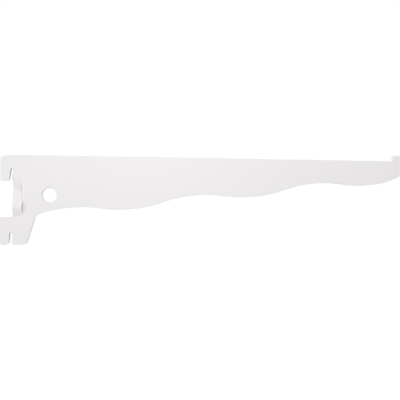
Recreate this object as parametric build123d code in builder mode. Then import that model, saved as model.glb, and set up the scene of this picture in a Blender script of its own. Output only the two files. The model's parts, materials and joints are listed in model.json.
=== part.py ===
from build123d import *
import os
from math import asin, atan2, cos, degrees, hypot, radians, sin, tan

# A shelf bracket that hooks into a single-slot wall rail. It is punched and pressed from one
# piece of sheet steel, so it is one solid.
# +X runs along the arm away from the rail, +Z is up and Y goes through the sheet. The origin
# lies on the rail's front face (X = 0), on the shelf's underside (Z = 0) and mid-sheet (Y = 0).
# The front is the side at -Y.

# Sheet, with the soft edges of a punched and powder-coated blank
sheet_thickness = 3.0
edge_round = 0.3
corner_break = 0.7

# Arm
arm_reach = 309.4
arm_root_depth = 46.3
arm_tip_depth = 14.5

# Wavy lower edge: equal arcs that bend up and down by turns about a straight line
half_waves = 6
wave_rise = 3.0
wave_end_margin = 1.5
last_wave_kept = 0.65

# Turned-up tip that stops the shelf from sliding off
tip_width = 7.3
lip_height = 4.7
lip_slant = 19.0
lip_foot_round = 0.5
lip_outer_round = 1.5
tip_depth = 12.6
tip_lower_round = 2.0

# Hooks, at the pitch of the rail's slots
slot_pitch = 50.0
upper_seat_drop = 10.4
upper_hook_reach = 9.15
upper_hook_drop = 9.45
upper_hook_round = 4.2
lower_hook_reach = 9.5
lower_hook_rise = 12.4
lower_hook_drop = 9.1
lower_hook_outer_round = 2.2
lower_hook_inner_round = 3.2

# Gaps that the rail's wall goes into, open downwards
gap_roof_width = 2.05
gap_roof_round = 0.7
upper_gap_offset = 0.75
upper_hook_lean = 7.5
upper_nose_proud = 0.5
upper_nose_drop = 6.9
upper_nose_run_out = 2.2
lower_hook_lean = 2.5

# Foot that bears on the rail, with its slanted gusset edge
foot_width = 10.65
foot_inner_round = 0.7
foot_outer_round = 3.6
gusset_slant = 16.4
gusset_root_round = 3.0

# Hole through the arm near the rail
hole_diameter = 11.3
hole_from_rail = 27.8
hole_drop = 30.85
hole_rim_break = 0.3

# Strip along the rail edge, sheared free of the arm along one side and pressed into an S, back
# in its upper half and forward in its lower half, so that the bracket can't rock on the rail.
# The shear is shorter than the bends at the free edge, so the bend lines slant across the strip.
# Drops are from the shelf's underside, rises are from the top of the lower hook and run-ins are
# below it. They and the presses are to the corners of the bends, before they are rounded.
strip_setback = 0.4
strip_width = 6.95
strip_top_drop = 16.8
strip_run_in = 1.3
back_press = 2.0
front_press = 2.9
top_bend_round = 14.0
press_inner_round = 2.0
free_top_bend_drop = 19.0
free_valley_drop = 26.9
free_crest_rise = 7.4
free_bottom_bend_run_in = 0.5
shear_top_bend_drop = 20.6
shear_valley_drop = 28.2
shear_crest_rise = 7.8
shear_bottom_bend_rise = 1.8

# Margin of the flat sheet that is drawn a little way along with the strip before it shears
margin_width = 1.0
margin_share = 0.18

# Places that follow from the sizes above
half_sheet = sheet_thickness / 2
upper_seat_z = -upper_seat_drop
upper_hook_end_z = upper_seat_z - upper_hook_drop
upper_hook_inner_x = upper_gap_offset - gap_roof_width
upper_hook_tip_x = upper_hook_inner_x - upper_hook_drop * tan(radians(upper_hook_lean))
lower_seat_z = upper_seat_z - slot_pitch
lower_hook_top_z = lower_seat_z + lower_hook_rise
lower_hook_tip_x = -gap_roof_width - lower_hook_drop * tan(radians(lower_hook_lean))
foot_z = lower_seat_z - lower_hook_drop
lip_top_x = arm_reach + lip_height * tan(radians(lip_slant))
tip_x = arm_reach + tip_width
roof_round = min(gap_roof_round, 0.4 * gap_roof_width)
strip_top_z = -strip_top_drop
strip_bottom_z = lower_hook_top_z - strip_run_in
free_bends = (
    -free_top_bend_drop,
    -free_valley_drop,
    lower_hook_top_z + free_crest_rise,
    lower_hook_top_z - free_bottom_bend_run_in,
)
shear_bends = (
    -shear_top_bend_drop,
    -shear_valley_drop,
    lower_hook_top_z + shear_crest_rise,
    lower_hook_top_z + shear_bottom_bend_rise,
)
shear_x = strip_setback + strip_width
margin_x = shear_x + margin_width
press_outer_round = press_inner_round + sheet_thickness

# The line that the lower edge waves about, from the gusset's root to the tip
root_x = foot_width + tan(radians(gusset_slant)) * (-arm_root_depth - foot_z)
wave_slope = (arm_root_depth - arm_tip_depth) / (tip_x - root_x)
half_wave_run = (tip_x - wave_end_margin - root_x) / half_waves
half_wave_chord = half_wave_run * hypot(1, wave_slope)
wave_radius = (half_wave_chord**2 / 4 + wave_rise**2) / (2 * wave_rise)
wave_swing = asin(half_wave_chord / 2 / wave_radius)
nodes = [
    (root_x + n * half_wave_run, -arm_root_depth + wave_slope * n * half_wave_run)
    for n in range(half_waves)
]

with BuildPart() as pressed_strip:
    # Band of full sheet thickness, from its front lines at the free edge and the sheared line
    for x, bends in ((strip_setback, free_bends), (shear_x, shear_bends)):
        top_bend_z, valley_z, crest_z, bottom_bend_z = bends
        with BuildSketch(Plane.YZ.offset(x)):
            with BuildLine():
                FilletPolyline(
                    (-half_sheet, strip_top_z),
                    (-half_sheet, top_bend_z),
                    (-half_sheet + back_press, valley_z),
                    (-half_sheet - front_press, crest_z),
                    (-half_sheet, bottom_bend_z),
                    (-half_sheet, strip_bottom_z),
                    radius=[top_bend_round, press_inner_round, press_outer_round, press_inner_round],
                )
                offset(amount=sheet_thickness, side=Side.LEFT)
            make_face()
    loft(ruled=True)
    free_face = pressed_strip.faces().sort_by(Axis.X)[0]
    fillet(free_face.edges().filter_by(GeomType.CIRCLE), edge_round)
    # Drawn margin, from the sheared line to the flat sheet
    top_bend_z, valley_z, crest_z, bottom_bend_z = shear_bends
    for x, share in ((shear_x, margin_share), (shear_x + margin_width / 2, margin_share / 4), (margin_x, 0)):
        with BuildSketch(Plane.YZ.offset(x)):
            with BuildLine():
                turns = [
                    (-half_sheet, top_bend_z),
                    (-half_sheet + share * back_press, valley_z),
                    (-half_sheet - share * front_press, crest_z),
                    (-half_sheet, bottom_bend_z),
                ]
                front = Spline(*turns, tangents=[(0, -1), (0, -1)])
                back = Spline(*[(y + sheet_thickness, z) for y, z in turns], tangents=[(0, -1), (0, -1)])
                for end, end_z in ((0, strip_top_z), (1, strip_bottom_z)):
                    Polyline(front @ end, (-half_sheet, end_z), (half_sheet, end_z), back @ end)
            make_face()
    loft()

with BuildPart() as bracket:
    # Flat blank
    with BuildSketch(Plane.XZ) as blank:
        with BuildLine():
            # Lower edge from the gusset to the tip: up, down, up, down, up, then the last
            # wave that runs out into the tip
            for n in range(half_waves - 1):
                SagittaArc(nodes[n], nodes[n + 1], wave_rise if n % 2 == 0 else -wave_rise)
            last_start_angle = atan2(wave_slope, 1) - wave_swing
            last_wave = JernArc(
                start=nodes[-1],
                tangent=(cos(last_start_angle), sin(last_start_angle)),
                radius=wave_radius,
                arc_size=degrees(2 * wave_swing) * last_wave_kept,
            )
            tip_turn = TangentArc(last_wave @ 1, (tip_x, -tip_depth), tangent=last_wave % 1)
            # Tip, shelf edge, upper hook, rail edge, lower hook and foot
            FilletPolyline(
                (tip_x, -tip_depth),
                (tip_x, lip_height),
                (lip_top_x, lip_height),
                (arm_reach, 0),
                (-upper_hook_reach, 0),
                (-upper_hook_reach, upper_hook_end_z),
                (upper_hook_tip_x, upper_hook_end_z),
                (upper_hook_inner_x, upper_seat_z),
                (upper_gap_offset, upper_seat_z),
                (-upper_nose_proud, upper_seat_z - upper_nose_drop),
                (strip_setback, upper_seat_z - upper_nose_drop - upper_nose_run_out),
                (strip_setback, lower_hook_top_z),
                (-lower_hook_reach, lower_hook_top_z),
                (-lower_hook_reach, foot_z),
                (lower_hook_tip_x, foot_z),
                (-gap_roof_width, lower_seat_z),
                (0, lower_seat_z),
                (0, foot_z),
                (foot_width, foot_z),
                nodes[0],
                radius=[
                    lip_outer_round,
                    corner_break,
                    lip_foot_round,
                    upper_hook_round,
                    corner_break,
                    corner_break,
                    roof_round,
                    roof_round,
                    corner_break,
                    0,
                    0,
                    corner_break,
                    lower_hook_outer_round,
                    lower_hook_inner_round,
                    roof_round,
                    roof_round,
                    foot_inner_round,
                    foot_outer_round,
                ],
            )
        make_face()
        fillet(blank.vertices().sort_by_distance((tip_x, -tip_depth))[0], tip_lower_round)
        fillet(blank.vertices().sort_by_distance(nodes[0])[0], gusset_root_round)
    extrude(amount=half_sheet, both=True)
    fillet(bracket.faces().filter_by(Axis.Y).edges(), edge_round)
    # Hole, with its rim broken on both sides
    with Locations(Location((hole_from_rail, 0, -hole_drop), (90, 0, 0))):
        Hole(hole_diameter / 2)
    chamfer(bracket.edges(Select.LAST).filter_by(GeomType.CIRCLE), hole_rim_break)
    # Room for the pressed strip and its margin
    with BuildSketch(Plane.XZ):
        with Locations((margin_x, strip_bottom_z)):
            Rectangle(strip_width + margin_width, strip_top_z - strip_bottom_z, align=(Align.MAX, Align.MIN))
    extrude(amount=half_sheet, both=True, mode=Mode.SUBTRACT)
    add(pressed_strip.part)

os.makedirs("parts", exist_ok=True)
bracket.part.label = "shelf_bracket"
export_step(bracket.part, "parts/shelf_bracket.step")
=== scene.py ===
import json
import math

import bpy
from mathutils import Matrix, Vector

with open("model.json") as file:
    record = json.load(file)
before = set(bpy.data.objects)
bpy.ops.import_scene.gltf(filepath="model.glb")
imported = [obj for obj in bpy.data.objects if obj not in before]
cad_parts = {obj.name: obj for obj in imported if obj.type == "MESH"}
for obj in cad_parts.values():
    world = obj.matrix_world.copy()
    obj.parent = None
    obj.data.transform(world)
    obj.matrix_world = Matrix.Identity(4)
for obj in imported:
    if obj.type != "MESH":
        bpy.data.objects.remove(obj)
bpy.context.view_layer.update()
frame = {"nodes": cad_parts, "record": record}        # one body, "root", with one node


# The bracket: one blank of 3 mm sheet steel, punched and pressed, then degreased, hung on a line
# and powder-coated white all over. It has no other piece and nothing is fixed to it, for it hooks
# into the rail by itself.

coat_white = (0.871, 0.847, 0.853, 1)
coat_cloud = (0.821, 0.801, 0.808, 1)
# A lighter white, a painted highlight along the proud rim beside the sheared line
painted_highlight_white = (0.925, 0.902, 0.908, 1)
# The grey of the painted shade in the hole, the gaps under the hooks and along the sheared strip
painted_shade_grey = (0.220, 0.216, 0.222, 1)
coat_depth = 0.00012

# How many marks of each kind come to a metre
peel_marks = 900.0
swell_marks = 260.0
cloud_marks = 22.0
draw_marks = 2400.0
tear_marks = 3000.0

# Draw marks run through the sheet, and change this much more slowly that way
draw_run = 0.06

# How much each kind of mark lifts the skin, and how strongly the whole relief shows
peel_relief = 0.35
swell_relief = 0.65
draw_relief = 0.35
tear_relief = 0.55
relief_strength = 0.35

# How far the clouds, the peel and the turn to a wall take the coat towards its cloudy tone
cloud_tone = 0.35
peel_tone = 0.25
wall_tone = 0.2

# How dull the coat is, and how much duller in a cloud and on a wall
coat_roughness = 0.34
cloud_roughness = 0.16
wall_roughness = 0.12

# How much the peel breaks up the grey of the painted shade
peel_breakup = 0.3

# How far a surface turns to the front or back, 1 being flat on, for a wall and for a face
wall_turn = 0.49
face_turn = 0.87

# Where the torn part of a punched wall starts, about mid-sheet, how softly, and how far that
# line wanders
tear_start = 0.00013
tear_blend = 0.00022
tear_wander = 0.00036

# Places where shade falls that are painted grey: the wall of the hole, the walls of the gaps under
# # the hooks and the sheared walls of the pressed strip. Each place has a strength, how far this
# # painted shade takes the coat's tone to grey there, and a reach, which is how far off the effect
# # is still full and how far off it has gone.
mounts = {mount["name"]: Vector(mount["pos_m"]) for mount in frame["record"]["mounts"]}
hole_centre = mounts["cross_hole"]
hole_radius = 0.00565
hole_shade_strength = 0.19
hole_reach = (hole_radius + 0.0004, hole_radius + 0.0012)
slot_pitch = Vector((0, 0, 0.050))
gap_roofs = [mounts["rail_hooks"], mounts["rail_hooks"] - slot_pitch]
gap_shade_strength = 0.65
gap_reach = (0.0025, 0.0085)
shear_x = 0.00735
pressed_back = Vector((shear_x, 0, -0.0282))
pressed_forward = Vector((shear_x, 0, -0.0414))
sheared_wall_reach = (0.0016, 0.0070)

# Along the sheared line the painted highlight on the rim and the painted shade in the corner are
# # full to the first width, and gone at the second. They follow the bulges as far as they reach.
highlight_full_width = 0.00068
highlight_width = 0.0017
shear_blend = 0.0001
back_bulge_reach = (0.0045, 0.0080)
forward_bulge_reach = (0.0030, 0.0062)
# How far the painted shade in the deep corner beside the sheared line takes the coat to grey
corner_shade_strength = 0.13


class Socket:
    """An output of a shader node, with the sums that a finish needs written as sums."""

    def __init__(self, tree, link):
        self.tree, self.link = tree, link

    def _math(self, operation, *terms, clamp=False):
        node = self.tree.nodes.new("ShaderNodeMath")
        node.operation, node.use_clamp = operation, clamp
        for place, value in enumerate(terms):
            if isinstance(value, Socket):
                self.tree.links.new(value.link, node.inputs[place])
            else:
                node.inputs[place].default_value = value
        return Socket(self.tree, node.outputs[0])

    def __add__(self, other):
        return self._math("ADD", self, other)

    __radd__ = __add__

    def __sub__(self, other):
        return self._math("SUBTRACT", self, other)

    def __rsub__(self, other):
        return self._math("SUBTRACT", other, self)

    def __mul__(self, other):
        return self._math("MULTIPLY", self, other)

    __rmul__ = __mul__

    def __abs__(self):
        return self._math("ABSOLUTE", self)

    def clamped(self):
        return self._math("ADD", self, 0.0, clamp=True)


class Finish:
    """The shader nodes of one material, or of the room."""

    def __init__(self, owner):
        self.owner = owner
        owner.use_nodes = True
        self.tree = owner.node_tree
        self.tree.nodes.clear()

    def node(self, kind, settings=None, output=0, **sockets):
        """A socket is given by its name with _ for each space, or as _2 by its number."""
        made = self.tree.nodes.new("ShaderNode" + kind)
        for name, value in (settings or {}).items():
            setattr(made, name, value)
        for name, value in sockets.items():
            socket = made.inputs[int(name[1:]) if name[1:].isdigit() else name.replace("_", " ")]
            if isinstance(value, Socket):
                self.tree.links.new(value.link, socket)
            else:
                socket.default_value = value
        return Socket(self.tree, made.outputs[output]) if made.outputs else None

    def noise(self, place, scale, detail):
        return self.node("TexNoise", Vector=place, Scale=scale, Detail=detail, Roughness=0.5)

    def ramp(self, value, none_at, full_at):
        """0 up to one value and 1 from the other on, whichever of them is larger."""
        return self.node("MapRange", Value=value, From_Min=none_at, From_Max=full_at)

    def blend(self, share, first, second):
        return self.node("Mix", {"data_type": "RGBA"}, output=2, _0=share, _6=first, _7=second)


powder = Finish(bpy.data.materials.new("white powder coat"))
place = powder.node("TexCoord", output="Object")
run = powder.node("SeparateXYZ", output="X", Vector=place)
depth = powder.node("SeparateXYZ", output="Y", Vector=place)
turn = powder.node("SeparateXYZ", output="Y", Vector=powder.node("TexCoord", output="Normal"))
wall = powder.ramp(abs(turn), face_turn, wall_turn)

# The powder melts into a skin with a fine peel, laid over a slower swell
peel = powder.noise(place, peel_marks, detail=2.0)
swell = powder.noise(place, swell_marks, detail=1.0)
cloud = powder.noise(place, cloud_marks, detail=3.0)

# Under the coat a punched wall is smooth where the punch cut it and torn towards the back,
# with fine draw marks through the sheet
along_punch = powder.node("VectorMath", {"operation": "MULTIPLY"}, _0=place, _1=(1, draw_run, 1))
drawn = powder.noise(along_punch, draw_marks, detail=1.0)
torn = powder.ramp(depth + tear_wander * swell, tear_start, tear_start + tear_blend)
rough_wall = draw_relief * drawn + tear_relief * torn * powder.noise(place, tear_marks, detail=2.0)
relief = peel_relief * peel + swell_relief * swell + wall * rough_wall

# Painted shade: the coat is greyed where shade falls, on the walls of the hole and of the gaps under
# # the hooks, on the sheared walls of the pressed strip and in the deep corner beside it
within_sheet = powder.node("VectorMath", {"operation": "MULTIPLY"}, _0=place, _1=(1, 0, 1))


def near(spot, full_within, none_beyond):
    """How near a point is to a line straight through the sheet at the spot."""
    off = powder.node("VectorMath", {"operation": "DISTANCE"}, output="Value", _0=within_sheet, _1=spot)
    return powder.ramp(off, none_beyond, full_within)


wall_painted_shade = hole_shade_strength * near(hole_centre, *hole_reach)
for roof in gap_roofs:
    wall_painted_shade += gap_shade_strength * near(roof, *gap_reach)
for bulge in (pressed_back, pressed_forward):
    wall_painted_shade += near(bulge, *sheared_wall_reach)

# Along the sheared line the rim that stands proud gets a painted highlight and the corner that
# # lies deep gets painted shade. In front the strip lies deep where it is pressed back, and behind
# # where it is pressed forward.
on_strip = powder.ramp(run, shear_x + shear_blend, shear_x - shear_blend)
beside_shear = powder.ramp(abs(run - shear_x), highlight_width, highlight_full_width)
in_front = powder.ramp(turn, -wall_turn, -face_turn)
behind = powder.ramp(turn, wall_turn, face_turn)
back_bulge = near(pressed_back, *back_bulge_reach)
forward_bulge = near(pressed_forward, *forward_bulge_reach)
strip_deep = back_bulge * in_front + forward_bulge * behind
sheet_deep = forward_bulge * in_front + back_bulge * behind
shaded_corner = beside_shear * (on_strip * strip_deep + (1 - on_strip) * sheet_deep)
highlit_rim = beside_shear * (on_strip * sheet_deep + (1 - on_strip) * strip_deep)
# Painted shade on the walls by the hole, the gaps and the bulges, and in the deep corner
painted_shade_amount = wall * wall_painted_shade.clamped() + corner_shade_strength * shaded_corner
painted_shade_mix = painted_shade_amount * (1 - peel_breakup + peel_breakup * peel)

tone = (cloud_tone * cloud + peel_tone * peel + wall_tone * wall).clamped()
# Painted highlight on the proud rim beside the sheared line
coat = powder.blend(highlit_rim, powder.blend(tone, coat_white, coat_cloud), painted_highlight_white)
powder.node(
    "OutputMaterial",
    Surface=powder.node(
        "BsdfPrincipled",
        Base_Color=powder.blend(painted_shade_mix, coat, painted_shade_grey),
        Roughness=coat_roughness + cloud_roughness * cloud + wall_roughness * wall,
        Normal=powder.node("Bump", Strength=relief_strength, Distance=coat_depth, Height=relief),
        IOR=1.5,
    ),
)

bracket = frame["nodes"]["shelf_bracket"]
for skin_slot in bracket.material_slots:
    skin_slot.material = powder.owner


# The floor and the room: a white floor in a white room, both well clear of the bracket, which
# hangs in its own frame as it does on its rail. Seen directly they are plain white, and a little
# of the floor's matt paint still shows, so that it keeps the bracket's shadow.

floor_drop = 0.60
floor_reach = 60.0
floor_paint = (0.86, 0.86, 0.86, 1)
floor_roughness = 0.9
plain_white = (1, 1, 1, 1)
floor_glow = 1.03
glow_share = 0.94
room_strength = 0.591
seen_room_strength = 1.0

floor_mesh = bpy.data.meshes.new("floor")
floor_mesh.from_pydata(
    [(x * floor_reach, y * floor_reach, -floor_drop) for x, y in ((-1, -1), (1, -1), (1, 1), (-1, 1))],
    [],
    [(0, 1, 2, 3)],
)
floor = bpy.data.objects.new("floor", floor_mesh)
bpy.context.scene.collection.objects.link(floor)


def in_plain_view(finish):
    """1 where the camera, a mirror or a clear piece shows the surface itself, 0 where it only
    throws light on other things."""
    camera_ray, glossy_ray, clear_ray = [
        finish.node("LightPath", output=f"Is {kind} Ray") for kind in ("Camera", "Glossy", "Transmission")
    ]
    return (camera_ray + glossy_ray + clear_ray).clamped()


paint = Finish(bpy.data.materials.new("white floor paint"))
matt = paint.node("BsdfPrincipled", Base_Color=floor_paint, Roughness=floor_roughness)
glow = paint.node("Emission", Color=plain_white, Strength=floor_glow)
seen_floor = paint.node("MixShader", _0=glow_share * in_plain_view(paint), _1=matt, _2=glow)
paint.node("OutputMaterial", Surface=seen_floor)
floor_mesh.materials.append(paint.owner)

studio = Finish(bpy.data.worlds.new("studio"))
room = studio.node("Background", Color=plain_white, Strength=room_strength)
backdrop = studio.node("Background", Color=plain_white, Strength=seen_room_strength)
seen_room = studio.node("MixShader", _0=in_plain_view(studio), _1=room, _2=backdrop)
studio.node("OutputWorld", Surface=seen_room)
bpy.context.scene.world = studio.owner


# The lamps: a large softbox to the left and a small one over the camera. The walls that face
# right or down stay in half shade, and the light falls off a little towards the tip. A third
# softbox lights the back.

lamp_aim = Vector((0.12, 0, -0.03))


def softbox(name, at, side, watts):
    light = bpy.data.lights.new(name, "AREA")
    light.shape = "SQUARE"
    light.size = side
    light.energy = watts
    lamp = bpy.data.objects.new(name, light)
    lamp.location = at
    lamp.rotation_euler = (lamp_aim - Vector(at)).to_track_quat("-Z", "Y").to_euler()
    bpy.context.scene.collection.objects.link(lamp)


softbox("left softbox", at=(-1.9, -2.1, 0.7), side=1.2, watts=10.4)
softbox("front softbox", at=(0.10, -0.50, 0.20), side=0.28, watts=1.04)
softbox("back softbox", at=(-0.40, 1.20, 0.50), side=0.6, watts=5.0)


# The camera: it stands 0.40 m in front of the sheet, level with the middle of the bracket and a
# little to the left of it, and looks a little to the right, so that the tip end is the far end.

aim = Vector((0.1460, -0.0015, -0.03392))
stand_off = 0.400
swing = math.radians(6.763)
roll = math.radians(0.384)
sensor_width = 36.0
focal_length = 44.57

look = Vector((math.sin(swing), math.cos(swing), 0))
right = Vector((math.cos(swing), -math.sin(swing), 0))
up = Vector((0, 0, 1))
tilted_right = right * math.cos(roll) + up * math.sin(roll)
tilted_up = up * math.cos(roll) - right * math.sin(roll)
turned = Matrix((tilted_right, tilted_up, -look)).transposed().to_4x4()

lens = bpy.data.cameras.new("camera")
lens.sensor_width = sensor_width
lens.lens = focal_length
camera = bpy.data.objects.new("camera", lens)
camera.matrix_world = Matrix.Translation(aim - stand_off * look) @ turned
bpy.context.scene.collection.objects.link(camera)
bpy.context.scene.camera = camera

bpy.context.scene.view_settings.view_transform = "Standard"
